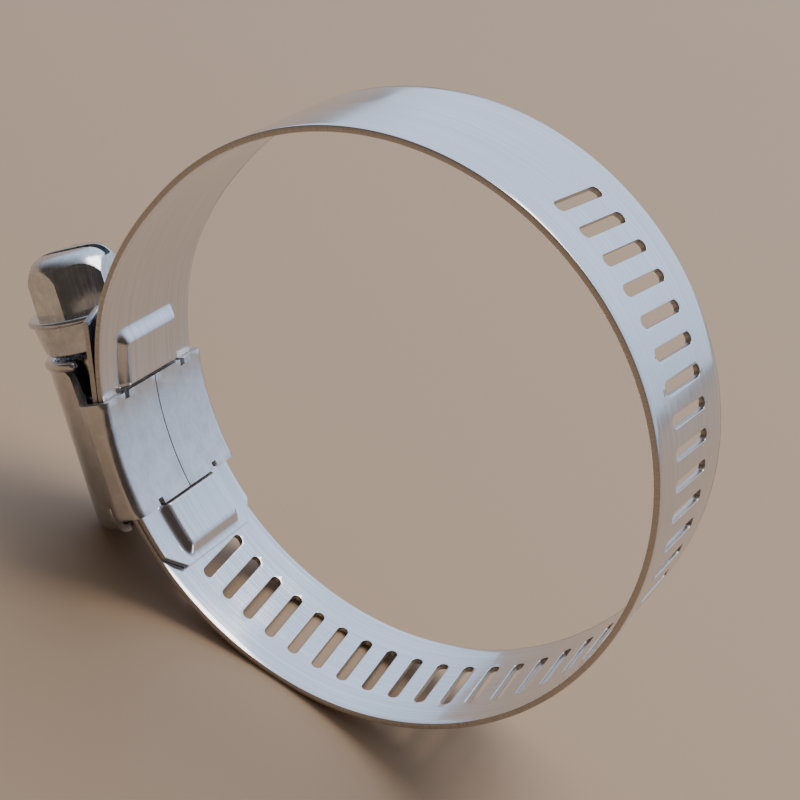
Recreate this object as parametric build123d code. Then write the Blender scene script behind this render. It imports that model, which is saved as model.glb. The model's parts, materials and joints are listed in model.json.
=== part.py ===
from build123d import *
import os
from math import atan2, cos, degrees, pi, radians, sin, sqrt

# Worm-drive hose clamp: one perforated steel strip bent into a ring, one stamped housing and one worm screw.
# Millimetres. The clamp is drawn on the bench with its housing on top: the ring's axis is Y, the screw lies
# along X with its head at +X, and an angle called a station runs from the housing over +X round the ring.
# The last step turns the whole clamp about Y until it rests on its rim and on the housing's nose.

# Strip
bore_radius = 23.75
band_width = 12.7
band_thickness = 0.5
tip_bevel = 1.8
tail_bevel_length = 0.8

# Slots
slot_pitch = 2.51
slot_width = 1.0
slot_length = 6.35
slots_past_worm = 2
tail_slots = 2
first_slot_station = 141.0

# Housing
sheet = 0.7
saddle_length = 10.3
saddle_shift = 0.4
bend_radius = 0.55
mouth_reach = 7.9
mouth_half_angle = 108.0
lip_bead = 0.45
lip_flare = 0.15
nose_reach = 8.3
nose_half_angle = 88.0
nose_rounding = 1.6
seam_gap = 0.1
shoulder_rise = 0.35
notch_size = 0.6

# Raised pads on the anchored end, one at each end of the saddle
pad_length = 4.5
pad_width = 7.4
pad_slope = 0.6

# Screw
thread_radius = 3.5
root_radius = 2.55
thread_crest = 0.42
thread_base = 0.8
thread_turns = 4.5
thread_bite = 0.42
thread_run_out = 0.6
thread_sink = 0.3
tip_radius = 2.3
tip_chamfer = 0.3
neck_radius = 2.6
collar_start = 8.2
collar_small_radius = 4.3
collar_large_radius = 4.75
washer_start = 11.0
washer_thickness = 0.55
washer_radius = 5.0
head_height = 5.0
hex_across_flats = 7.0
head_chamfer = 0.9
arch_height = 1.2
drive_slot_width = 1.0
drive_slot_depth = 1.1
head_turn = -15.0
drive_slot_angle = 18.0

# Fits
flush_gap = 0.05
seat_gap = 0.02
slide_gap = 0.08
side_gap = 0.15
barrel_gap = 0.25
tip_gap = 0.08
pad_gap = 0.15
tail_gap = 0.005

# Turns of the screw that the slotted run is kept clear for as it tightens
tighten_turns = 5.0

# Lengths along the strip and stations where its radius changes
tip_margin = 1.0
tail_length = 6.8
joint_margin = 1.4
return_station = 62.0
plain_end_station = 137.0
spiral_start_station = 215.0
lay_on_margin = 2.0

# Radii of the layers in the housing, from the bore outwards
flange_face = bore_radius + flush_gap
flange_back = flange_face + sheet
anchored_radius = flange_back + seat_gap
anchored_back = anchored_radius + band_thickness
sliding_radius = anchored_back + slide_gap
sliding_back = sliding_radius + band_thickness
sliding_middle = sliding_radius + band_thickness / 2
screw_height = sliding_back - thread_bite + thread_radius
barrel_bore = thread_radius + barrel_gap
barrel_radius = barrel_bore + sheet
half_band = band_width / 2
half_inside = half_band + side_gap
half_outside = half_inside + sheet
half_saddle = saddle_length / 2
full_turn = 360.0

# Fineness of the drawing
curve_steps = 12
contact_steps = 1000
turn_halvings = 60


def arc_angle(length, radius):
    """Angle in degrees that a length takes up on a circle."""
    return degrees(length / radius)


saddle_angle = arc_angle(half_saddle, flange_face)
saddle_middle = -arc_angle(saddle_shift, flange_face)
pad_start = saddle_angle + arc_angle(pad_gap, flange_face)
pad_end = pad_start + arc_angle(pad_length, flange_face)
anchored_tip = saddle_middle - pad_end - arc_angle(tip_margin, anchored_radius)
anchored_joint = saddle_middle + pad_end + arc_angle(joint_margin, anchored_radius)
slot_angle = arc_angle(slot_pitch, sliding_middle)
tail_start = full_turn + saddle_middle + (slots_past_worm + 0.5) * slot_angle
lay_on_station = full_turn + anchored_tip - tighten_turns * slot_angle - lay_on_margin
slot_slant = degrees(atan2(slot_pitch, 2 * pi * thread_radius))


def room_over_tail(place):
    """Largest radius that the screw can have at a place along it and still pass over the free tail."""
    leave = radians(tail_start)
    return screw_height - (sliding_back - place * sin(leave)) / cos(leave) - tail_gap


# Radii of the collar and the washer, which give way to the tail where the chosen ones don't fit
collar_small_end = min(collar_small_radius, room_over_tail(collar_start))
collar_large_end = min(collar_large_radius, room_over_tail(washer_start))
washer_rim = min(washer_radius, room_over_tail(washer_start + washer_thickness / 2))


def at(radius, station, y=0.0):
    """Point on the bench drawing at a radius from the bore's axis and a station round the ring."""
    return Vector(radius * sin(radians(station)), y, radius * cos(radians(station)))


def smooth(value):
    """Eases from 0 to 1 with level ends."""
    value = min(max(value, 0.0), 1.0)
    return value * value * (3 - 2 * value)


def run_radius(station):
    """Inner radius of the strip at a station, from its anchored end round to its free tail."""
    if station < plain_end_station:
        share = smooth((station - anchored_joint) / (return_station - anchored_joint))
        return anchored_radius + (bore_radius - anchored_radius) * share
    share = smooth((station - spiral_start_station) / (lay_on_station - spiral_start_station))
    return bore_radius + (sliding_radius - bore_radius) * share


def flat_arc(radius, start, end):
    """Arc about the bore's axis between two stations."""
    return ThreePointArc(at(radius, start), at(radius, (start + end) / 2), at(radius, end))


def flat_curve(start, end, outwards):
    """Curve along the strip where its radius changes, offset outwards from the inner face."""
    stations = [start + (end - start) * step / curve_steps for step in range(curve_steps + 1)]
    points = [at(run_radius(station) + outwards, station) for station in stations]
    return Spline(points, tangents=[tangent(start), tangent(end)])


def tangent(station):
    """Direction along the ring at a station."""
    return Vector(cos(radians(station)), 0, -sin(radians(station)))


def strip(outline_inner, outline_outer, start, end):
    """Strip of the band between two stations, as wide as the band."""
    inner_start, outer_start = at(run_radius(start), start), at(run_radius(start) + band_thickness, start)
    inner_end, outer_end = at(run_radius(end), end), at(run_radius(end) + band_thickness, end)
    edges = outline_inner + outline_outer + [Line(inner_start, outer_start), Line(inner_end, outer_end)]
    face = make_face(edges)
    return extrude(face, amount=half_band, dir=(0, 1, 0), both=True)


def ring_sector(inner, outer, start, end, width):
    """Curved plate between two radii and two stations."""
    edges = [
        flat_arc(inner, start, end),
        flat_arc(outer, start, end),
        Line(at(inner, start), at(outer, start)),
        Line(at(inner, end), at(outer, end)),
    ]
    return extrude(make_face(edges), amount=width / 2, dir=(0, 1, 0), both=True)


def round_bar(radius):
    """Cylinder along the ring's axis, longer than the clamp is wide."""
    return Rotation(90, 0, 0) * Cylinder(radius, 4 * band_width)


def bevel_cutters(station, radius, length):
    """Pair of prisms that cut the corners off a strip's end over a signed length along the strip."""
    cutters = []
    for side in (-1, 1):
        corner = Polyline(
            (-length, half_band - tip_bevel),
            (length, half_band + tip_bevel),
            (-length, half_band + tip_bevel),
            close=True,
        )
        prism = extrude(Pos(0, 0, radius) * make_face(corner), amount=tip_bevel, both=True)
        if side < 0:
            prism = mirror(prism, Plane.XZ)
        cutters.append(Rotation(0, station, 0) * prism)
    return cutters


# --- strip -------------------------------------------------------------------------------------------------

def pad_block(station, shrink, inner, outer):
    """Tapered block of one raised pad, widest at the strip, between two radii."""
    length = pad_length - 2 * shrink
    width = pad_width - 2 * shrink
    face = Pos(0, 0, flange_face) * Rectangle(length, width)
    base = Pos(0, 0, anchored_back) * Rectangle(length, width + 2 * pad_slope)
    block = Rotation(0, station, 0) * loft([face, base])
    return block & ring_sector(inner, outer, station - pad_end, station + pad_end, band_width)


def band_anchored_end():
    """End of the strip that the housing is folded round, with its two raised pads and bevelled tip."""
    plate = ring_sector(anchored_radius, anchored_back, anchored_tip, anchored_joint, band_width)
    from_middle = (pad_start + pad_end) / 2
    for station in (saddle_middle - from_middle, saddle_middle + from_middle):
        plate += pad_block(station, 0.0, flange_face, anchored_back)
        plate -= pad_block(station, band_thickness, flange_face + band_thickness, sliding_back)
    return plate - bevel_cutters(anchored_tip, anchored_radius, tip_bevel)


def band_plain_run():
    """Plain run of the strip from the anchored end over to the first slots, the part that flexes most."""
    inner = [
        flat_curve(anchored_joint, return_station, 0.0),
        flat_arc(bore_radius, return_station, plain_end_station),
    ]
    outer = [
        flat_curve(anchored_joint, return_station, band_thickness),
        flat_arc(bore_radius + band_thickness, return_station, plain_end_station),
    ]
    return strip(inner, outer, anchored_joint, plain_end_station)


def slot_stations():
    """Stations of the slots, one pitch apart along the strip, with one slot under the worm's middle."""
    stations = []
    station = full_turn + saddle_middle + slots_past_worm * slot_angle
    while station > first_slot_station:
        stations.append(station)
        station -= arc_angle(slot_pitch, run_radius(station) + band_thickness / 2)
    return stations


def slot_cutter(station):
    """Round-ended cutter for one slot, slanted to the thread's lead."""
    outline = SlotOverall(slot_length, slot_width, rotation=90 - slot_slant)
    cutter = extrude(Pos(0, 0, bore_radius - sheet) * outline, amount=4 * sheet)
    return Rotation(0, station, 0) * cutter


def band_slotted_run():
    """Slotted run of the strip: round the ring, out over the anchored end and through the housing."""
    parts = []
    for outwards in (0.0, band_thickness):
        parts.append([
            flat_arc(bore_radius + outwards, plain_end_station, spiral_start_station),
            flat_curve(spiral_start_station, lay_on_station, outwards),
            flat_arc(sliding_radius + outwards, lay_on_station, tail_start),
        ])
    run = strip(parts[0], parts[1], plain_end_station, tail_start)
    return run - [slot_cutter(station) for station in slot_stations()]


def band_tail():
    """Free tail of the strip, which springs out straight where it leaves the housing."""
    plate = Pos(tail_length / 2, 0, sliding_middle) * Box(tail_length, band_width, band_thickness)
    for number in range(tail_slots):
        plate -= Pos((number + 0.5) * slot_pitch, 0, 0) * slot_cutter(0)
    plate -= [Pos(tail_length, 0, 0) * cutter for cutter in bevel_cutters(0, sliding_radius, -tail_bevel_length)]
    return Rotation(0, tail_start, 0) * plate


# --- housing -----------------------------------------------------------------------------------------------

def bell_outline():
    """Outside of the housing seen along the screw: straight walls, sloping shoulders and the round barrel."""
    shoulder = sliding_back + shoulder_rise
    foot = bore_radius - bend_radius - 3 * sheet
    corners = [
        (-half_outside, foot),
        (half_outside, foot),
        (half_outside, shoulder),
        (barrel_radius, screw_height),
        (-barrel_radius, screw_height),
        (-half_outside, shoulder),
    ]
    walls = make_face(Polyline(*corners, close=True))
    return walls + Pos(0, screw_height) * Circle(barrel_radius)


def saddle():
    """Middle of the housing: barrel, shoulders, side walls and the two flanges folded in under the strip."""
    outline = bell_outline()
    hollow = offset(outline, amount=-sheet)
    across = Plane(origin=(-saddle_shift, 0, 0), x_dir=(0, 1, 0), z_dir=(1, 0, 0))
    body = extrude(across * outline, amount=half_saddle, both=True)
    body -= round_bar(flange_face)
    edges = body.edges().filter_by(GeomType.CIRCLE).filter_by(lambda e: abs(e.radius - flange_face) < 0.01)
    body = fillet(edges, bend_radius)
    inside = extrude(across * hollow, amount=2 * half_saddle, both=True) - round_bar(flange_back)
    return body - inside


def seam_and_notches():
    """Cuts where the two flanges meet and the small reliefs at their ends beside the pads."""
    cuts = [Pos(0, 0, flange_face) * Box(2 * saddle_length, seam_gap, 3 * sheet)]
    for end in (-1, 1):
        for side in (-1, 1):
            notch = Box(2 * notch_size, notch_size, 3 * sheet)
            notch = Pos(0, side * (pad_width / 2 + notch_size / 2), flange_face) * notch
            cuts.append(Rotation(0, saddle_middle + end * saddle_angle, 0) * notch)
    return cuts


def turned(points_or_edges, half_angle):
    """Shell turned about the screw's axis and kept within an angle either side of straight out."""
    face = make_face(points_or_edges)
    shell = revolve(face, Axis.X, 2 * half_angle)
    shell = Rotation(-half_angle, 0, 0) * shell
    return Pos(0, 0, screw_height) * shell


def mouth():
    """Tongue of the barrel that reaches out under the screw's collar, with a beaded lip."""
    root = half_saddle - saddle_shift - sheet
    bead_x = mouth_reach - lip_bead
    bead_z = barrel_radius - sheet / 2 + lip_flare
    edges = Polyline(
        (root, 0, barrel_bore),
        (bead_x, 0, barrel_bore),
        (bead_x, 0, barrel_radius),
        (root, 0, barrel_radius),
        close=True,
    )
    bead = Pos(bead_x, 0, bead_z) * Rotation(90, 0, 0) * Circle(lip_bead)
    return turned(edges, mouth_half_angle) + turned(bead, mouth_half_angle)


def nose():
    """Rounded nose that closes the barrel's far end round the screw's tip."""
    hole = tip_radius + tip_gap
    outer_round = nose_rounding
    inner_round = nose_rounding - sheet
    root = sheet - half_saddle - saddle_shift
    centre_x = nose_rounding - nose_reach
    centre_z = barrel_radius - nose_rounding
    leg = sin(radians(45))
    edges = [
        Line((root, 0, barrel_bore), (centre_x, 0, barrel_bore)),
        ThreePointArc(
            (centre_x, 0, barrel_bore),
            (centre_x - inner_round * leg, 0, centre_z + inner_round * leg),
            (centre_x - inner_round, 0, centre_z),
        ),
        Line((centre_x - inner_round, 0, centre_z), (centre_x - inner_round, 0, hole)),
        Line((centre_x - inner_round, 0, hole), (centre_x - outer_round, 0, hole)),
        Line((centre_x - outer_round, 0, hole), (centre_x - outer_round, 0, centre_z)),
        ThreePointArc(
            (centre_x - outer_round, 0, centre_z),
            (centre_x - outer_round * leg, 0, centre_z + outer_round * leg),
            (centre_x, 0, barrel_radius),
        ),
        Line((centre_x, 0, barrel_radius), (root, 0, barrel_radius)),
        Line((root, 0, barrel_radius), (root, 0, barrel_bore)),
    ]
    return turned(edges, nose_half_angle)


def housing():
    """Stamped housing: one sheet wrapped round the screw and folded in under the anchored end."""
    shell = saddle() + mouth() + nose()
    for cut in seam_and_notches():
        shell -= cut
    return shell


# --- screw -------------------------------------------------------------------------------------------------

def screw_thread():
    """Right-hand worm thread, with its crest over the slot under the worm's middle."""
    length = thread_turns * slot_pitch
    path = Helix(slot_pitch, length, root_radius)
    section = Plane(origin=path @ 0, x_dir=(1, 0, 0), z_dir=path % 0)
    depth = thread_radius - root_radius
    corners = [
        (-thread_sink, -thread_base / 2),
        (depth, -thread_crest / 2),
        (depth, thread_crest / 2),
        (-thread_sink, thread_base / 2),
    ]
    ridge = sweep(section * make_face(Polyline(*corners, close=True)), path=path, is_frenet=True)
    turn_at_middle = full_turn * thread_turns / 2
    return Rotation(0, 0, -turn_at_middle) * Pos(0, 0, -saddle_shift - length / 2) * ridge


def hex_head():
    """Hexagon head with a turned chamfer and a screwdriver slot."""
    top = washer_start + washer_thickness + head_height
    base = washer_start + washer_thickness / 2
    flat = hex_across_flats / 2
    corner = hex_across_flats / sqrt(3)
    prism = Pos(0, 0, base) * Rotation(0, 0, head_turn) * extrude(RegularPolygon(corner, 6), amount=top - base)
    profile = Polyline(
        (0, 0, base),
        (corner, 0, base),
        (corner, 0, top - head_chamfer - arch_height),
        (flat, 0, top - head_chamfer),
        (flat - head_chamfer, 0, top),
        (0, 0, top),
        close=True,
    )
    head = prism & revolve(make_face(profile), Axis.Z)
    slot = Pos(0, 0, top) * Rotation(0, 0, drive_slot_angle) * Box(
        2 * hex_across_flats, drive_slot_width, 2 * drive_slot_depth
    )
    return head - slot


def screw_body():
    """Tip, core, neck, tapered collar and washer flange, all turned about one axis."""
    half_thread = thread_turns * slot_pitch / 2 + thread_run_out
    core_start = -saddle_shift - half_thread
    core_end = -saddle_shift + half_thread
    rim = washer_thickness / 2
    washer_end = washer_start + washer_thickness
    profile = [
        (0, 0, -nose_reach),
        (tip_radius - tip_chamfer, 0, -nose_reach),
        (tip_radius, 0, tip_chamfer - nose_reach),
        (tip_radius, 0, core_start - tip_chamfer),
        (root_radius, 0, core_start),
        (root_radius, 0, core_end),
        (neck_radius, 0, core_end),
        (neck_radius, 0, collar_start),
        (collar_small_end, 0, collar_start),
        (collar_large_end, 0, washer_start),
        (washer_rim - rim, 0, washer_start),
        (washer_rim, 0, washer_start + rim),
        (washer_rim - rim, 0, washer_end),
        (0, 0, washer_end),
    ]
    return revolve(make_face(Polyline(*profile, close=True)), Axis.Z)


def worm_screw():
    """The whole screw, drawn on its own axis and laid in the housing."""
    screw = screw_body() + screw_thread() + hex_head()
    seat = Plane(origin=(0, 0, screw_height), x_dir=(0, 0, -1), z_dir=(1, 0, 0))
    return seat.location * screw


# --- resting position --------------------------------------------------------------------------------------

def lowest_of_ring(turn):
    """Depth of the ring's lowest point below the bore's axis once the clamp is turned about Y."""
    length = tail_start - plain_end_station
    stations = [plain_end_station + length * step / contact_steps for step in range(contact_steps + 1)]
    return max(
        -(run_radius(station) + band_thickness) * cos(radians(station + turn)) for station in stations
    )


def lowest_of_nose(turn):
    """Depth of the housing nose's lowest point below the bore's axis once the clamp is turned about Y."""
    x = nose_rounding - nose_reach
    z = screw_height + barrel_radius - nose_rounding
    return x * sin(radians(turn)) - z * cos(radians(turn)) + nose_rounding


def resting_turn():
    """Turn about Y, in degrees, at which the rim and the nose touch the same floor."""
    high, low = -90.0, -180.0
    for _ in range(turn_halvings):
        middle = (high + low) / 2
        if lowest_of_nose(middle) < lowest_of_ring(middle):
            high = middle
        else:
            low = middle
    return (high + low) / 2


nodes = {
    "housing": housing,
    "band_anchored_end": band_anchored_end,
    "band_plain_run": band_plain_run,
    "band_slotted_run": band_slotted_run,
    "band_tail": band_tail,
    "worm_screw": worm_screw,
}

os.makedirs("parts", exist_ok=True)
turn = resting_turn()
for name, make in nodes.items():
    export_step(Rotation(0, turn, 0) * make(), f"parts/{name}.step")

axis = Rotation(0, turn, 0) * Pos(1, 0, 0)
print("turn about Y", round(turn, 4), "floor at", round(-lowest_of_ring(turn), 4))
print("screw axis", axis.position, "screw height", round(screw_height, 4))
print("slots", len(slot_stations()), "degrees a turn", round(slot_angle, 5))
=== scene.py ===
import json
from math import atan2, cos, degrees, hypot, pi, radians, sin, sqrt, tan
import bmesh
import bpy
from mathutils import Matrix, Vector


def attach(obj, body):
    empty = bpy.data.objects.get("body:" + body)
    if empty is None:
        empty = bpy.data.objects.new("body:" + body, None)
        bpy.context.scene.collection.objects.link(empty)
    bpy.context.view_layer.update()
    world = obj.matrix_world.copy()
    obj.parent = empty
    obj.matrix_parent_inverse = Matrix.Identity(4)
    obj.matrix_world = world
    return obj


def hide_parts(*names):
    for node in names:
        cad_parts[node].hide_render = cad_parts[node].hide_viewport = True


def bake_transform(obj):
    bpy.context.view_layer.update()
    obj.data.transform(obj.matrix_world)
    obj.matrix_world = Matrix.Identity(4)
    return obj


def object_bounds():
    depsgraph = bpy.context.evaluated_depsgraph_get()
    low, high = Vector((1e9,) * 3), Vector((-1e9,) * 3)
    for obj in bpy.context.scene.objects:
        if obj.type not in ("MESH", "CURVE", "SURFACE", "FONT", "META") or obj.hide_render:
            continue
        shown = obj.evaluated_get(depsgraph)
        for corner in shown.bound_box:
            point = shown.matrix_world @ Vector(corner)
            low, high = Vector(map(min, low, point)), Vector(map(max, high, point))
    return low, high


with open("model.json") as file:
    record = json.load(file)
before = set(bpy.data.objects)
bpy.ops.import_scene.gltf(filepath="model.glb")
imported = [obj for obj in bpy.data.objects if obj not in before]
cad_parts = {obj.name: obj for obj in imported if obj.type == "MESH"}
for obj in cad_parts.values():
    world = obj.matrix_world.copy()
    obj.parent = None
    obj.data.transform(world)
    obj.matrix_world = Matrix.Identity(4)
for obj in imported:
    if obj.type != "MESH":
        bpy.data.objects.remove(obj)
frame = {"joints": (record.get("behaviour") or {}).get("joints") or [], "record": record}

# Worm-drive hose clamp: a rolled stainless strip with punched slots, a pressed housing and a worm screw.
# Pieces are drawn in millimetres on the bench, with the housing on top: x runs along the screw to its head,
# y along the ring's axis and z straight out through the screw. A station is an angle round the ring, from
# the housing over +x. laid() takes a bench point to its place on the clamp as it rests.

MM = 0.001
cad_bounds = [list(corner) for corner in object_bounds()]
record = frame["record"]
joints = {joint["name"]: joint for joint in frame["joints"]}
mounts = {mount["name"]: mount for mount in record["mounts"]}
screw_place = Vector(joints["screw_turn"]["pos_m"])
OUTWARDS = screw_place.normalized()
ALONG = -Vector(joints["screw_turn"]["axis"])
ACROSS = Vector((0.0, 1.0, 0.0))

# Strip
bore_radius = mounts["hose_bore"]["dims"]["r_mm"]
band_width = mounts["hose_bore"]["dims"]["length_mm"]
screw_height = screw_place.length / MM
band_thickness = 0.5
tip_bevel = 1.8
tail_bevel_length = 0.8
slot_pitch = 2.51
slot_width = 1.0
slot_length = 6.35
slots_past_worm = 2
tail_slots = 2
first_slot_station = 141.0
cut_edge = 0.05
cell_shares = (0.0, 0.4, 0.75, 1.0)

# Housing
sheet = 0.7
flush_gap = 0.05
seat_gap = 0.02
slide_gap = 0.08
side_gap = 0.15
barrel_gap = 0.25
saddle_length = 10.3
saddle_shift = 0.4
thread_radius = 3.5
shoulder_rise = 0.35
mouth_reach = 7.9
lip_bead = 0.45
nose_reach = 8.3
nose_rounding = 1.6
seam_gap = 0.1

arc_step = 7.5
crease_drop = 0.35
crease_radius = 0.7
shoulder_drop = 0.15
shoulder_radius = 0.6
bend_radius = 0.5
notch_size = 0.6
mouth_corner = 1.0
lip_half_angle = 97.0
lip_flare = 0.15
nose_hole = 2.38
pressed_edge = 0.1

# Screw
thread_turns = 4.5
thread_crest = 0.42
thread_base = 0.8
thread_run_out = 0.6
thread_sink = 0.3
thread_steps = 36
root_radius = 2.55
tip_radius = 2.3
tip_chamfer = 0.3
neck_radius = 2.6
collar_start = 8.2
collar_small_radius = 4.3
collar_large_radius = 4.7
washer_start = 11.0
washer_thickness = 0.55
washer_radius = 5.0
head_height = 5.0
hex_across_flats = 7.0
head_chamfer = 0.85
head_turn = -15.0
head_edge = 0.12
drive_slot_width = 1.0
drive_slot_depth = 1.1
drive_slot_angle = 18.0

# Pads
pad_length = 4.5
pad_width = 7.4
pad_gap = 0.15
tip_margin = 1.0
joint_margin = 1.4
tail_length = 6.8

# Stations where the strip's radius changes
return_station = 62.0
plain_end_station = 137.0
spiral_start_station = 215.0
lay_on_margin = 2.0
tighten_turns = 5.0

# Layers, from the bore outwards
half_band = band_width / 2
half_saddle = saddle_length / 2
flange_face = bore_radius + flush_gap
flange_back = flange_face + sheet
anchored_radius = flange_back + seat_gap
anchored_back = anchored_radius + band_thickness
sliding_radius = anchored_back + slide_gap
sliding_back = sliding_radius + band_thickness
barrel_bore = thread_radius + barrel_gap
barrel_middle = barrel_bore + sheet / 2


def arc_angle(length, radius):
    """Angle in degrees that a length takes up on a circle."""
    return degrees(length / radius)


saddle_angle = arc_angle(half_saddle, flange_face)
saddle_middle = -arc_angle(saddle_shift, flange_face)
pad_start = saddle_angle + arc_angle(pad_gap, flange_face)
pad_end = pad_start + arc_angle(pad_length, flange_face)
anchored_tip = saddle_middle - pad_end - arc_angle(tip_margin, anchored_radius)
anchored_joint = saddle_middle + pad_end + arc_angle(joint_margin, anchored_radius)
slot_angle = arc_angle(slot_pitch, sliding_radius + band_thickness / 2)
lay_on_station = 360 + anchored_tip - tighten_turns * slot_angle - lay_on_margin
tail_start = 360 + saddle_middle + (slots_past_worm + 0.5) * slot_angle
slot_slant = atan2(slot_pitch, 2 * pi * thread_radius)


def laid(x, y, z):
    """Place of a bench point on the resting clamp, in metres."""
    return (x * ALONG + y * ACROSS + z * OUTWARDS) * MM


def on_ring(radius, station, y):
    """Bench point at a radius and a station round the ring."""
    return radius * sin(radians(station)), y, radius * cos(radians(station))


def smooth(value):
    """Eases from 0 to 1 with level ends."""
    value = min(max(value, 0.0), 1.0)
    return value * value * (3 - 2 * value)


def run_radius(station):
    """Inner radius of the strip at a station, from its anchored end round to its free tail."""
    if station < plain_end_station:
        share = smooth((station - anchored_joint) / (return_station - anchored_joint))
        return anchored_radius + (bore_radius - anchored_radius) * share
    share = smooth((station - spiral_start_station) / (lay_on_station - spiral_start_station))
    return bore_radius + (sliding_radius - bore_radius) * share


def steps(start, end, size):
    """Evenly spaced values from start to end, about size apart."""
    count = max(1, round(abs(end - start) / size))
    return [start + (end - start) * step / count for step in range(count + 1)]


# --- mesh building -----------------------------------------------------------------------------------------

class Sheet:
    """Open sheet of quads, each corner with its bench point and the direction of its thickness."""

    def __init__(self):
        self.mesh = bmesh.new()
        self.rise = self.mesh.verts.layers.float_vector.new("rise")

    def corner(self, place, rise):
        vert = self.mesh.verts.new(laid(*place))
        vert[self.rise] = laid(*rise).normalized()
        return vert

    def patch(self, rows):
        """Fills the quads between rows of corners."""
        for above, below in zip(rows, rows[1:]):
            for column in range(len(above) - 1):
                self.mesh.faces.new((above[column], above[column + 1], below[column + 1], below[column]))

    def thicken(self, inwards, outwards):
        """Gives the sheet its thickness, by amounts in mm to either side along each corner's rise."""
        mesh = self.mesh
        bmesh.ops.remove_doubles(mesh, verts=mesh.verts[:], dist=weld_distance)
        grown = bmesh.ops.extrude_face_region(mesh, geom=mesh.faces[:])["geom"]
        lifted = {item for item in grown if isinstance(item, bmesh.types.BMVert)}
        for vert in mesh.verts:
            amount = outwards if vert in lifted else -inwards
            vert.co += vert[self.rise] * amount * MM
        bmesh.ops.recalc_face_normals(mesh, faces=mesh.faces[:])
        for face in mesh.faces:
            rise = sum((vert[self.rise] for vert in face.verts), Vector())
            face.material_index = int(abs(face.normal.dot(rise.normalized())) < 0.5)


weld_distance = 1e-7
seam_tolerance = 1e-6


def round_edges(mesh, size, seams=(), sharper_than=50):
    """Breaks the cut edges of a drawn mesh. Edges in a seam plane meet the next piece and stay sharp."""
    broken = []
    for edge in mesh.edges:
        if len(edge.link_faces) != 2 or edge.calc_face_angle() < radians(sharper_than):
            continue
        at_seam = any(max(abs(vert.co.dot(seam)) for vert in edge.verts) < seam_tolerance for seam in seams)
        if at_seam:
            edge.smooth = False
        else:
            broken.append(edge)
    bmesh.ops.bevel(
        mesh, geom=broken, offset=size * MM, segments=2, profile=0.5, affect="EDGES", clamp_overlap=True
    )


def seam_plane(station):
    """Direction square to the cut across the ring at a station."""
    return laid(*on_ring(1.0, station + 90, 0.0)).normalized()


def bench_place(point):
    """Bench coordinates in mm of a place on the clamp."""
    return point.dot(ALONG) / MM, point.dot(ACROSS) / MM, point.dot(OUTWARDS) / MM


def strip_grain(point):
    """Place on the strip as it was rolled: along it, across it and its radius, in mm."""
    x, y, z = bench_place(point)
    station = (degrees(atan2(x, z)) - plain_end_station + 180) % 360 - 180
    return radians(station) * bore_radius, y, hypot(x, z)


def slotted_grain(point):
    """Place on the slotted run, which goes on round past the housing."""
    x, y, z = bench_place(point)
    station = (degrees(atan2(x, z)) - plain_end_station + 5) % 360 - 5
    return radians(station) * bore_radius, y, hypot(x, z)


def screw_grain(point):
    """Place beside the screw's axis: along it and either side of it, in mm."""
    x, y, z = bench_place(point)
    return x, y, z - screw_height


def finished(name, mesh, slot, node, grain, *finishes):
    """Turns a drawn mesh into a smooth-shaded piece that stands for a node of the clamp."""
    data = bpy.data.meshes.new(name)
    mesh.to_mesh(data)
    mesh.free()
    for finish in finishes:
        data.materials.append(finish)
    data.polygons.foreach_set("use_smooth", [True] * len(data.polygons))
    places = data.attributes.new("grain", "FLOAT_VECTOR", "POINT")
    for vert in data.vertices:
        places.data[vert.index].vector = grain(vert.co)
    piece = bpy.data.objects.new(name, data)
    bpy.context.scene.collection.objects.link(piece)
    shading = piece.modifiers.new("even_shading", "WEIGHTED_NORMAL")
    shading.weight = 100
    shading.keep_sharp = True
    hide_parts(node)
    return piece


# --- finishes ----------------------------------------------------------------------------------------------

# Range of a noise value over which a finish goes from one look to the other
pattern_low = 0.3
pattern_high = 0.7


def linear(colour):
    """Linear RGBA of an sRGB hex colour."""
    shares = [int(colour[index:index + 2], 16) / 255 for index in (1, 3, 5)]
    curved = [((share + 0.055) / 1.055) ** 2.4 if share > 0.04045 else share / 12.92 for share in shares]
    return curved + [1.0]


def add(tree, kind, inputs=(), **settings):
    """Adds a node with its settings; inputs gives each socket a value or another node's output."""
    node = tree.nodes.new(kind)
    for name, value in settings.items():
        setattr(node, name, value)
    for name, value in dict(inputs).items():
        if isinstance(value, bpy.types.NodeSocket):
            tree.links.new(value, node.inputs[name])
        else:
            node.inputs[name].default_value = value
    return node


def ramp(value, low, high, start=pattern_low, end=pattern_high):
    """Inputs of a map range node that takes start..end to low..high."""
    return {"Value": value, "From Min": start, "From Max": end, "To Min": low, "To Max": high}


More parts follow.
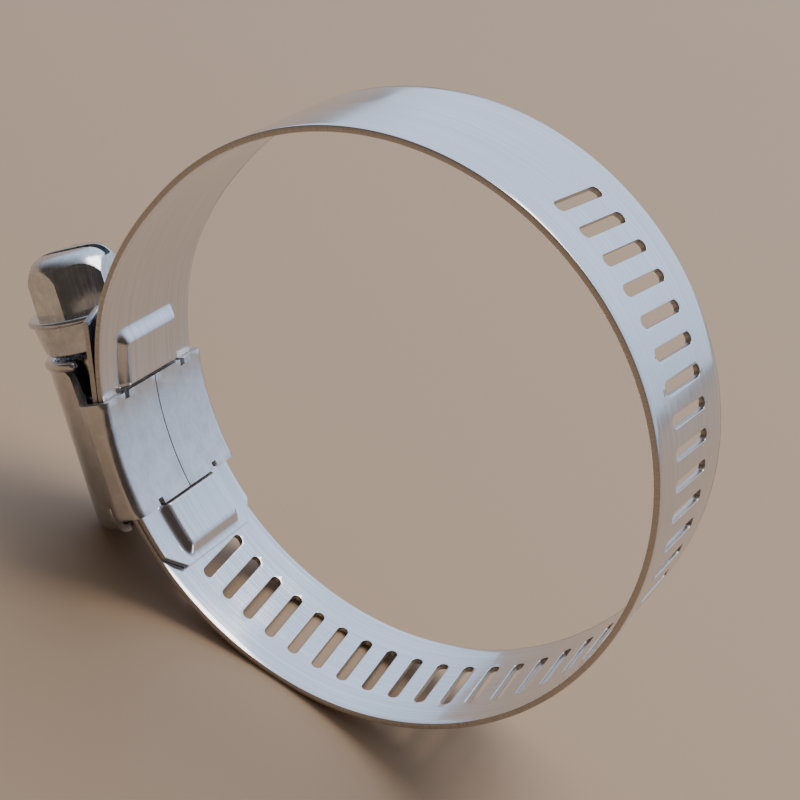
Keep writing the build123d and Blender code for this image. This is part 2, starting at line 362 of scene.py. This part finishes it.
def metal(name, patterns, tone, shine, dents):
    """Bare metal. patterns gives each noise its size in mm along, across and through the piece, its detail
    and its roughness. tone is a pattern with a dark and a light colour, shine adds up roughness from
    patterns, and dents stacks bumps from patterns with a height in mm and a strength."""
    material = bpy.data.materials.new(name)
    material.use_nodes = True
    tree = material.node_tree
    shader = tree.nodes["Principled BSDF"]
    shader.inputs["Metallic"].default_value = 1.0
    grain = add(tree, "ShaderNodeAttribute", attribute_name="grain").outputs["Vector"]
    noise = {}
    for pattern, (size, detail, roughness) in patterns.items():
        per_mark = {0: grain, 1: [1 / length for length in size]}
        scaled = add(tree, "ShaderNodeVectorMath", per_mark, operation="MULTIPLY").outputs[0]
        look = {"Vector": scaled, "Scale": 1.0, "Detail": detail, "Roughness": roughness}
        noise[pattern] = add(tree, "ShaderNodeTexNoise", look).outputs["Fac"]
    share = add(tree, "ShaderNodeMapRange", ramp(noise[tone[0]], 0.0, 1.0)).outputs["Result"]
    colours = {0: share, 6: linear(tone[1]), 7: linear(tone[2])}
    mixed = add(tree, "ShaderNodeMix", colours, data_type="RGBA").outputs[2]
    tree.links.new(mixed, shader.inputs["Base Color"])
    parts = [add(tree, "ShaderNodeMapRange", ramp(noise[pattern], low, high)) for pattern, low, high in shine]
    rough = parts[0].outputs["Result"]
    for part in parts[1:]:
        both = {0: rough, 1: part.outputs["Result"]}
        rough = add(tree, "ShaderNodeMath", both, operation="ADD").outputs[0]
    tree.links.new(rough, shader.inputs["Roughness"])
    bumps = [
        add(tree, "ShaderNodeBump", {"Height": noise[pattern], "Distance": height * MM, "Strength": strength})
        for pattern, height, strength in dents
    ]
    for under, over in zip(bumps, bumps[1:]):
        tree.links.new(under.outputs["Normal"], over.inputs["Normal"])
    tree.links.new(bumps[-1].outputs["Normal"], shader.inputs["Normal"])
    return material


# Strip from the rolling mill: a satin sheen drawn out into fine lines along it, cloudier in patches a few
# millimetres long where the rolls slipped, and a slow wave that bends its reflections.
rolled = metal(
    "rolled_stainless_strip",
    patterns={
        "lines": ((14.0, 0.16, 4.0), 4.0, 0.5),
        "clouds": ((9.0, 3.5, 6.0), 2.0, 0.5),
        "waves": ((7.0, 5.0, 7.0), 1.0, 0.5),
    },
    tone=("lines", "#cdd0d6", "#e2e5ea"),
    shine=[("lines", -0.035, 0.035), ("clouds", 0.1, 0.2)],
    dents=[("waves", 0.03, 0.5), ("lines", 0.0025, 0.3)],
)

# Edges left by the shears and the slot punch: duller than the faces, with short upright tear lines.
sheared = metal(
    "sheared_stainless_edge",
    patterns={"tears": ((0.12, 0.12, 1.5), 3.0, 0.5)},
    tone=("tears", "#b3afab", "#d2cecb"),
    shine=[("tears", 0.3, 0.5)],
    dents=[("tears", 0.01, 0.5)],
)

# Sheet bent in a press: bright and softly rippled, with drag lines from the tool along the screw, and scuffs.
pressed = metal(
    "pressed_stainless_sheet",
    patterns={
        "drag": ((5.0, 0.22, 0.22), 4.0, 0.5),
        "scuffs": ((1.6, 1.1, 1.1), 5.0, 0.65),
        "ripples": ((3.2, 2.2, 2.2), 1.0, 0.5),
    },
    tone=("scuffs", "#c6c6c8", "#e0e1e4"),
    shine=[("drag", -0.04, 0.05), ("scuffs", 0.13, 0.26)],
    dents=[("ripples", 0.05, 0.5), ("drag", 0.004, 0.4)],
)

# Carbon steel screw, cold-headed and zinc-plated: a bluish white shine, with die lines down the flats and
# fine lines round the collar and the flange from turning.
plated = metal(
    "zinc_plated_screw_steel",
    patterns={
        "die_lines": ((9.0, 0.3, 0.3), 3.0, 0.5),
        "mottle": ((0.9, 0.9, 0.9), 4.0, 0.6),
        "turning": ((0.09, 40.0, 40.0), 2.0, 0.5),
    },
    tone=("mottle", "#c3c9ce", "#e2e7ec"),
    shine=[("die_lines", 0.12, 0.3)],
    dents=[("die_lines", 0.012, 0.4), ("turning", 0.003, 0.3)],
)

# --- strip -------------------------------------------------------------------------------------------------

def across_rows():
    """Places across the strip, close together at the round ends of the slots."""
    straight = slot_length / 2 - slot_width / 2
    cap = [straight + slot_width / 2 * sin(radians(angle)) for angle in range(0, 91, 15)]
    inner = steps(0, straight, 0.9)[:-1]
    margin = steps(slot_length / 2, half_band, 0.65)[1:]
    half = inner + cap + margin
    return [-y for y in reversed(half[1:])] + half


def slot_half_opening(y):
    """Half the slot's width at a place across the strip."""
    straight = slot_length / 2 - slot_width / 2
    over = abs(y) - straight
    if over <= 0:
        return slot_width / 2
    return sqrt(max((slot_width / 2) ** 2 - over ** 2, 0.0)) if over < slot_width / 2 else 0.0


def strip_corner(drawn, station, y, sunk=0.0):
    """Corner on the strip's inner face, sunk towards the bore by an amount."""
    return drawn.corner(on_ring(run_radius(station) - sunk, station, y), on_ring(1.0, station, 0.0))


def slot_stations():
    """Stations of the slots, one pitch apart along the strip, with one under the worm's middle."""
    stations = []
    station = 360 + saddle_middle + slots_past_worm * slot_angle
    while station > first_slot_station:
        stations.append(station)
        station -= arc_angle(slot_pitch, run_radius(station) + band_thickness / 2)
    return stations[::-1]


def slot_edge(y, side):
    """How far along the strip a slot's edge is from its centre, or the line through it beyond its ends."""
    lean = max(min(y, slot_length / 2), -slot_length / 2) * tan(slot_slant)
    return lean + side * slot_half_opening(y)


def slot_cell(drawn, column, centre, before, after):
    """Cell of the strip round a slot, between two stops a pitch apart. column(place) draws a line of corners
    across it. Both halves use one scale, so that they meet beyond the slot's ends."""
    scale = (before + after) / 2 / slot_pitch
    for side, start in ((-1, centre - before / 2), (1, centre + after / 2)):
        for share, onward in zip(cell_shares, cell_shares[1:]):
            drawn.patch([
                column(lambda y: start + (centre + slot_edge(y, side) * scale - start) * part)
                for part in (share, onward)
            ])


def slotted_run():
    """Slotted run of the strip, each slot punched through a cell one pitch long."""
    drawn = Sheet()
    centres = slot_stations()
    gaps = [later - earlier for earlier, later in zip(centres, centres[1:])]
    gaps = [gaps[0]] + gaps + [gaps[-1]]

    def column(place):
        return [strip_corner(drawn, place(y), y) for y in across_rows()]

    first = centres[0] - gaps[0] / 2
    for before, after in zip(steps(plain_end_station, first, 1.0), steps(plain_end_station, first, 1.0)[1:]):
        drawn.patch([column(lambda y: before), column(lambda y: after)])
    for index, centre in enumerate(centres):
        slot_cell(drawn, column, centre, gaps[index], gaps[index + 1])
    drawn.thicken(0.0, band_thickness)
    round_edges(drawn.mesh, cut_edge, [seam_plane(plain_end_station), seam_plane(tail_start)])
    piece = finished("slotted_run", drawn.mesh, "band", "band_slotted_run", slotted_grain, rolled, sheared)
    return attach(piece, "sliding_band")


def tail():
    """Free tail of the strip, which springs out straight where it leaves the housing."""
    drawn = Sheet()
    ahead = on_ring(1.0, tail_start + 90, 0.0)
    start = on_ring(sliding_radius, tail_start, 0.0)

    def column(place):
        line = []
        for y in across_rows():
            far = place(y)
            narrow = 1 - tip_bevel / half_band * max(1 - (tail_length - far) / tail_bevel_length, 0.0)
            corner = (start[0] + ahead[0] * far, y * narrow, start[2] + ahead[2] * far)
            line.append(drawn.corner(corner, on_ring(1.0, tail_start, 0.0)))
        return line

    for number in range(tail_slots):
        slot_cell(drawn, column, (number + 0.5) * slot_pitch, slot_pitch, slot_pitch)
    rest = steps(tail_slots * slot_pitch, tail_length - tail_bevel_length, 0.5)
    rest += steps(tail_length - tail_bevel_length, tail_length, 0.4)[1:]
    drawn.patch([column(lambda y, far=far: far) for far in rest])
    drawn.thicken(0.0, band_thickness)
    round_edges(drawn.mesh, cut_edge, [seam_plane(tail_start)])
    piece = finished("tail", drawn.mesh, "band", "band_tail", slotted_grain, rolled, sheared)
    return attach(piece, "sliding_band")


def plain_run():
    """Plain run of the strip, from the anchored end round to the slotted run."""
    drawn = Sheet()
    rows = across_rows()
    lines = []
    for station in steps(anchored_joint, plain_end_station, 1.0):
        lines.append([strip_corner(drawn, station, y) for y in rows])
    drawn.patch(lines)
    drawn.thicken(0.0, band_thickness)
    round_edges(drawn.mesh, cut_edge, [seam_plane(anchored_joint), seam_plane(plain_end_station)])
    piece = finished("plain_run", drawn.mesh, "band", "band_plain_run", strip_grain, rolled, sheared)
    middle = band_thickness / 2
    ends = [laid(*on_ring(run_radius(s) + middle, s, 0.0)) for s in (anchored_joint, plain_end_station)]
    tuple(ends[0])
    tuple(ends[1])
    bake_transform(piece)
    return piece


def pad_height(station, y):
    """How far a raised pad sinks the strip towards the bore at a place, from 0 to the full pad depth."""
    depth = anchored_radius - flange_face
    from_middle = radians(abs(station - saddle_middle)) * flange_face
    start, end = radians(pad_start) * flange_face, radians(pad_end) * flange_face
    along = min((from_middle - start) / 0.35 + 0.5, (end - from_middle) / 1.3 + 0.5)
    side = (pad_width / 2 - abs(y)) / 0.7 + 0.5
    corner = 1 - hypot(1 - min(max(along, 0), 1), 1 - min(max(side, 0), 1))
    return depth * smooth(corner)


def anchored_end():
    """End of the strip under the housing, with its two soft-edged raised pads and its bevelled tip."""
    drawn = Sheet()
    bevel_angle = arc_angle(tip_bevel, anchored_radius)
    lines = []
    bevel_end = anchored_tip + bevel_angle
    for station in steps(anchored_tip, bevel_end, 0.45) + steps(bevel_end, anchored_joint, 0.45)[1:]:
        narrow = 1 - tip_bevel / half_band * max(1 - (station - anchored_tip) / bevel_angle, 0.0)
        line = []
        for y in steps(-half_band * narrow, half_band * narrow, 0.3 * narrow):
            line.append(strip_corner(drawn, station, y, pad_height(station, y)))
        lines.append(line)
    drawn.patch(lines)
    drawn.thicken(0.0, band_thickness)
    round_edges(drawn.mesh, cut_edge, [seam_plane(anchored_joint)])
    piece = finished("anchored_end", drawn.mesh, "band", "band_anchored_end", strip_grain, rolled, sheared)
    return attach(piece, "clamp_body")


# --- housing -----------------------------------------------------------------------------------------------

def rounded_path(corners, straights):
    """Path through corners given as (y, z, radius), as (y, z, direction) samples. straights lists, for each
    leg, the shares of its straight length at which it has a sample."""
    samples = []
    points = [Vector(corner[:2]) for corner in corners]
    leave = points[0]
    for index in range(1, len(points)):
        heading = (points[index] - points[index - 1]).normalized()
        if index < len(points) - 1:
            onward = (points[index + 1] - points[index]).normalized()
            turn = heading.angle_signed(onward)
            cut = corners[index][2] * tan(abs(turn) / 2)
        else:
            turn, cut = 0.0, 0.0
        arrive = points[index] - heading * cut
        for share in straights[index - 1]:
            samples.append((*leave.lerp(arrive, share), heading.x, heading.y))
        if not turn:
            continue
        side = -1 if turn > 0 else 1
        centre = arrive + Vector((-heading.y, heading.x)) * corners[index][2] * side
        count = max(3, round(degrees(abs(turn)) / arc_step))
        for step in range(count):
            spun = Matrix.Rotation(-turn * step / count, 2)
            place, along = centre + spun @ (arrive - centre), spun @ heading
            samples.append((*place, along.x, along.y))
        leave = points[index] + onward * cut
    return samples


def section(x):
    """Middle of the housing's sheet in a cut across the screw, from the top of the barrel to the seam."""
    flange = sqrt((flange_face + sheet / 2) ** 2 - x ** 2)
    wall = half_band + side_gap + sheet / 2
    shoulder = sliding_back + shoulder_rise - shoulder_drop
    corners = [
        (0.0, screw_height + barrel_middle, 0.0),
        (barrel_middle, screw_height + barrel_middle, barrel_middle),
        (barrel_middle, screw_height - crease_drop, crease_radius),
        (wall, shoulder, shoulder_radius),
        (wall, flange, bend_radius),
        (seam_gap / 2, flange, 0.0),
    ]
    reach = wall - bend_radius - seam_gap / 2
    notch = [(wall - bend_radius - pad_width / 2 - size) / reach for size in (notch_size, 0.0)]
    flange_shares = [0.0, notch[0] / 2, notch[0], notch[1], 0.55, 0.7, 0.85, 1.0]
    return rounded_path(corners, [[], [], [0.0, 0.25, 0.5, 0.75], [0.0, 0.5], flange_shares])


def whole_section(x):
    """Both halves of the cut, from seam to seam, as (y, z, outward direction) samples."""
    half = section(x)
    right = [(y, z, -direction_z, direction_y) for y, z, direction_y, direction_z in half]
    left = [(-y, z, -out_y, out_z) for y, z, out_y, out_z in right]
    return left[::-1] + right[1:]


def housing():
    """One pressed sheet: the barrel over the screw, its walls, and two flanges folded in to a seam."""
    drawn = Sheet()
    back, front = -half_saddle - saddle_shift, half_saddle - saddle_shift
    places = [back, back + notch_size] + steps(back + notch_size, front - notch_size, 0.8)[1:] + [front]
    lines = []
    for x in places:
        lines.append([drawn.corner((x, y, z), (0, out_y, out_z)) for y, z, out_y, out_z in whole_section(x)])
    drawn.patch(lines)
    count = len(lines[0])
    notch_at = section(0.0).index(min(section(0.0), key=lambda p: abs(p[0] - pad_width / 2 - notch_size)))
    half = (count - 1) // 2
    cut = []
    for row in (0, len(lines) - 2):
        for column in (half + notch_at, half - notch_at - 1):
            corners = {lines[row][column], lines[row + 1][column + 1]}
            cut += [face for face in lines[row][column].link_faces if corners <= set(face.verts)]
    barrel = [index for index in range(count) if abs(index - half) <= round(90 / arc_step)]
    top = whole_section(0.0)

    def turned_line(profile):
        """Corners round the barrel for a place on its outline, as (x, radius, rise x, rise radius)."""
        x, radius, rise_x, rise_r = profile
        line = []
        for index in barrel:
            angle = radians((index - half) * arc_step)
            place = (x, radius * sin(angle), screw_height + radius * cos(angle))
            line.append(drawn.corner(place, (rise_x, rise_r * sin(angle), rise_r * cos(angle))))
        return line

    def tongue_line(share):
        """Corners across the tongue, which reaches down to the creases and is rounded there."""
        line = []
        for index in range(half - tongue_half, half + tongue_half + 1):
            y, z, out_y, out_z = top[index]
            inward = min((z - top[half + tongue_half][1]) / mouth_corner, 1.0)
            reach = (mouth_reach - lip_bead - front) * sqrt(max(1 - (1 - inward) ** 2, 0.0))
            line.append(drawn.corner((front + reach * share, y, z), (0, out_y, out_z)))
        return line

    tongue_half = round(90 / arc_step) + 3
    drawn.patch([tongue_line(share) for share in (0.0, 0.2, 0.4, 0.6, 0.8, 1.0)])
    middle_round = nose_rounding - sheet / 2
    curl = [(back, barrel_middle, 0.0, 1.0)]
    for angle in range(0, 91, 15):
        rise = (-sin(radians(angle)), cos(radians(angle)))
        x = nose_rounding - nose_reach + middle_round * rise[0]
        curl.append((x, barrel_middle - middle_round + middle_round * rise[1], *rise))
    hole = nose_hole + sheet / 2
    curl.append((curl[-1][0], hole, -1.0, 0.0))
    drawn.patch([turned_line(place) for place in curl])
    bmesh.ops.delete(drawn.mesh, geom=list(set(cut)), context="FACES")
    drawn.thicken(sheet / 2, sheet / 2)
    round_edges(drawn.mesh, pressed_edge)
    lip(drawn.mesh)
    piece = finished("housing_shell", drawn.mesh, "housing", "housing", screw_grain, pressed, sheared)
    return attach(piece, "clamp_body")


def lip(mesh):
    """Rolled bead along the mouth of the barrel, with round ends."""
    centre_x = mouth_reach - lip_bead
    radius = barrel_middle + lip_flare
    end = lip_half_angle
    rings = []
    stops = [(-end - degrees(lip_bead / radius) * cos(radians(a)), sin(radians(a))) for a in range(0, 90, 22)]
    stops += [(angle, 1.0) for angle in steps(-end, end, 6)]
    stops += [(-angle, size) for angle, size in stops[:4][::-1]]
    for angle, size in stops:
        ring = []
        size = max(size, 0.02) * lip_bead
        for spin in range(0, 360, 30):
            across = radius + size * cos(radians(spin))
            x = centre_x + size * sin(radians(spin))
            turn = radians(angle)
            ring.append(mesh.verts.new(laid(x, across * sin(turn), screw_height + across * cos(turn))))
        rings.append(ring)
    skin(mesh, rings)


def skin(mesh, rings):
    """Closes a skin over a row of rings, with a face at each end."""
    for first, second in zip(rings, rings[1:]):
        for index in range(len(first)):
            after = (index + 1) % len(first)
            mesh.faces.new((first[index], first[after], second[after], second[index]))
    ends = [mesh.faces.new(rings[0][::-1]), mesh.faces.new(rings[-1])]
    around = {face for ring in rings for vert in ring for face in vert.link_faces}
    bmesh.ops.recalc_face_normals(mesh, faces=list(around | set(ends)))


# --- screw -------------------------------------------------------------------------------------------------

def on_screw(x, radius, angle):
    """Bench point beside the screw's axis; at angle 0 it faces the band."""
    return x, radius * sin(radians(angle)), screw_height - radius * cos(radians(angle))


def shank(mesh):
    """Tip, core, neck, tapered collar and washer flange, turned about one axis."""
    rim = washer_thickness / 2
    washer_end = washer_start + washer_thickness
    half_thread = thread_turns * slot_pitch / 2 + thread_run_out
    core_start, core_end = -saddle_shift - half_thread, -saddle_shift + half_thread
    profile = [(-nose_reach, 0.3), (-nose_reach, tip_radius - tip_chamfer)]
    profile += [(-nose_reach + tip_chamfer, tip_radius)]
    profile += [(core_start - tip_chamfer, tip_radius), (core_start, root_radius), (core_end, root_radius)]
    profile += [(core_end, neck_radius), (collar_start, neck_radius)]
    profile += [(collar_start, collar_small_radius - tip_chamfer)]
    profile += [(collar_start + tip_chamfer, collar_small_radius)]
    profile += [(washer_start, collar_large_radius)]
    for angle in range(0, 181, 20):
        x = washer_start + rim - rim * cos(radians(angle))
        profile.append((x, washer_radius - rim + rim * sin(radians(angle))))
    profile += [(washer_end, 0.3)]
    rings = []
    for x, radius in profile:
        rings.append([mesh.verts.new(laid(*on_screw(x, radius, a))) for a in range(0, 360, 5)])
    skin(mesh, rings)


def worm_thread(mesh):
    """Right-hand thread ridge that runs out into the core at both ends."""
    rings = []
    for step in range(round(thread_turns * thread_steps) + 1):
        turn = step / thread_steps - thread_turns / 2
        fade = smooth((thread_turns / 2 - abs(turn)) / 0.25)
        crest = root_radius + (thread_radius - root_radius) * fade
        foot = root_radius - thread_sink
        middle = turn * slot_pitch - saddle_shift
        half_base, half_crest = thread_base / 2, thread_crest / 2
        shape = [(-half_base, foot), (-half_crest, crest), (half_crest, crest), (half_base, foot)]
        rings.append([mesh.verts.new(laid(*on_screw(middle + x, radius, turn * 360))) for x, radius in shape])
    skin(mesh, rings)


def head_radius(angle):
    """Distance from the axis to the hexagon's flats at an angle about the screw."""
    from_flat = (angle - head_turn) % 60 - 30
    return hex_across_flats / 2 / cos(radians(from_flat))


def hex_head():
    """Hexagon head with a domed top that cuts an arch into each flat, and a screwdriver slot."""
    mesh = bmesh.new()
    top = washer_start + washer_thickness + head_height
    base = washer_start + washer_thickness / 2

    def crown(radius):
        """How far the domed top has fallen at a distance from the axis."""
        return head_chamfer * (radius / (hex_across_flats / 2)) ** 6

    rings = []
    for height in (0.0, 0.5, 1.0):
        ring = []
        for angle in range(0, 360, 5):
            radius = head_radius(angle + head_turn)
            x = base + (top - crown(radius) - base) * height
            ring.append(mesh.verts.new(laid(*on_screw(x, radius, angle + head_turn))))
        rings.append(ring)
    for share in (0.96, 0.92, 0.86, 0.78, 0.68, 0.5, 0.25, 0.08):
        ring = []
        for angle in range(0, 360, 5):
            radius = head_radius(angle + head_turn) * share
            ring.append(mesh.verts.new(laid(*on_screw(top - crown(radius), radius, angle + head_turn))))
        rings.append(ring)
    skin(mesh, rings)
    return cut_driver_slot(mesh, top)


def cut_driver_slot(mesh, top):
    """Cuts the screwdriver slot across the head's top."""
    block = bmesh.new()
    bmesh.ops.create_cube(block, size=1.0)
    size = (2 * drive_slot_depth, 3 * hex_across_flats, drive_slot_width)
    for vert in block.verts:
        x, along, across = (place * length for place, length in zip(vert.co, size))
        angle = radians(drive_slot_angle)
        y = along * sin(angle) + across * cos(angle)
        z = screw_height - along * cos(angle) + across * sin(angle)
        vert.co = laid(top + x, y, z)
    bmesh.ops.recalc_face_normals(block, faces=block.faces[:])
    blank, cutter = (bpy.data.objects.new(name, bpy.data.meshes.new(name)) for name in ("blank", "cutter"))
    mesh.to_mesh(blank.data)
    block.to_mesh(cutter.data)
    for piece in (blank, cutter):
        bpy.context.scene.collection.objects.link(piece)
    cut = blank.modifiers.new("slot", "BOOLEAN")
    cut.object = cutter
    cut.solver = "EXACT"
    bpy.context.view_layer.update()
    made = bpy.data.meshes.new_from_object(blank.evaluated_get(bpy.context.evaluated_depsgraph_get()))
    mesh.clear()
    mesh.from_mesh(made)
    block.free()
    for piece in (blank, cutter):
        bpy.data.objects.remove(piece)
    return mesh


def worm_screw():
    """The whole screw in one piece."""
    mesh = hex_head()
    shank(mesh)
    worm_thread(mesh)
    round_edges(mesh, head_edge, sharper_than=28)
    piece = finished("screw", mesh, "screw", "worm_screw", screw_grain, plated)
    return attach(piece, "screw")


slotted_run()
tail()
plain_run()
anchored_end()
housing()
worm_screw()

# --- floor, light and camera -------------------------------------------------------------------------------

def camera():
    """Camera close above the clamp's near side, leaning with the ring."""
    data = bpy.data.cameras.new("camera")
    data.lens = 81.7
    data.sensor_width = 36.0
    data.clip_start = 0.01
    eye = Vector((38.76, -114.62, 76.81)) * MM
    aim = Vector((-0.28, 0.22, 0.48)) * MM
    lean = radians(20.42)
    piece = bpy.data.objects.new("camera", data)
    bpy.context.scene.collection.objects.link(piece)
    facing = (aim - eye).to_track_quat("-Z", "Y").to_matrix().to_4x4()
    piece.matrix_world = Matrix.Translation(eye) @ facing @ Matrix.Rotation(lean, 4, "Z")
    bpy.context.scene.camera = piece


camera()

def floor():
    """Plain pale floor of warm matt board, level with the lowest point of the clamp."""
    mesh = bmesh.new()
    bmesh.ops.create_grid(mesh, x_segments=1, y_segments=1, size=floor_size / 2)
    data = bpy.data.meshes.new("floor")
    mesh.to_mesh(data)
    mesh.free()
    piece = bpy.data.objects.new("floor", data)
    piece.location = (0, 0, cad_bounds[0][2])
    bpy.context.scene.collection.objects.link(piece)
    material = bpy.data.materials.new("matt_board")
    material.use_nodes = True
    shader = material.node_tree.nodes["Principled BSDF"]
    shader.inputs["Base Color"].default_value = linear("#bd9f80")
    shader.inputs["Roughness"].default_value = 0.55
    data.materials.append(material)


def softbox(name, place, size, power, colour):
    """Square soft light that faces the clamp."""
    data = bpy.data.lights.new(name, "AREA")
    data.size = size
    data.energy = power
    data.color = linear(colour)[:3]
    piece = bpy.data.objects.new(name, data)
    piece.location = place
    piece.rotation_euler = (-Vector(place)).to_track_quat("-Z", "Y").to_euler()
    bpy.context.scene.collection.objects.link(piece)


def studio():
    """Soft surroundings: a cool bright window side behind the clamp and dim warm walls in front."""
    world = bpy.data.worlds.new("studio")
    bpy.context.scene.world = world
    world.use_nodes = True
    tree = world.node_tree
    looking = add(tree, "ShaderNodeTexCoord").outputs["Generated"]
    ahead = add(tree, "ShaderNodeVectorMath", {0: looking, 1: Vector((-0.08, 0.87, 0.45)).normalized()},
                operation="DOT_PRODUCT").outputs["Value"]
    glow = add(tree, "ShaderNodeMapRange", ramp(ahead, 0.0, 1.0, -0.1, 0.9)).outputs["Result"]
    colours = {0: glow, 6: linear("#786a60"), 7: linear("#d6e7ff")}
    colour = add(tree, "ShaderNodeMix", colours, data_type="RGBA").outputs[2]
    strength = add(tree, "ShaderNodeMapRange", ramp(glow, 0.4, 1.5, 0.0, 1.0)).outputs["Result"]
    background = tree.nodes["Background"]
    tree.links.new(colour, background.inputs["Color"])
    tree.links.new(strength, background.inputs["Strength"])


floor_size = 3.0
floor()
studio()
softbox("overhead", (0.1, 0.25, 0.6), 0.4, 2.5, "#fff4e8")
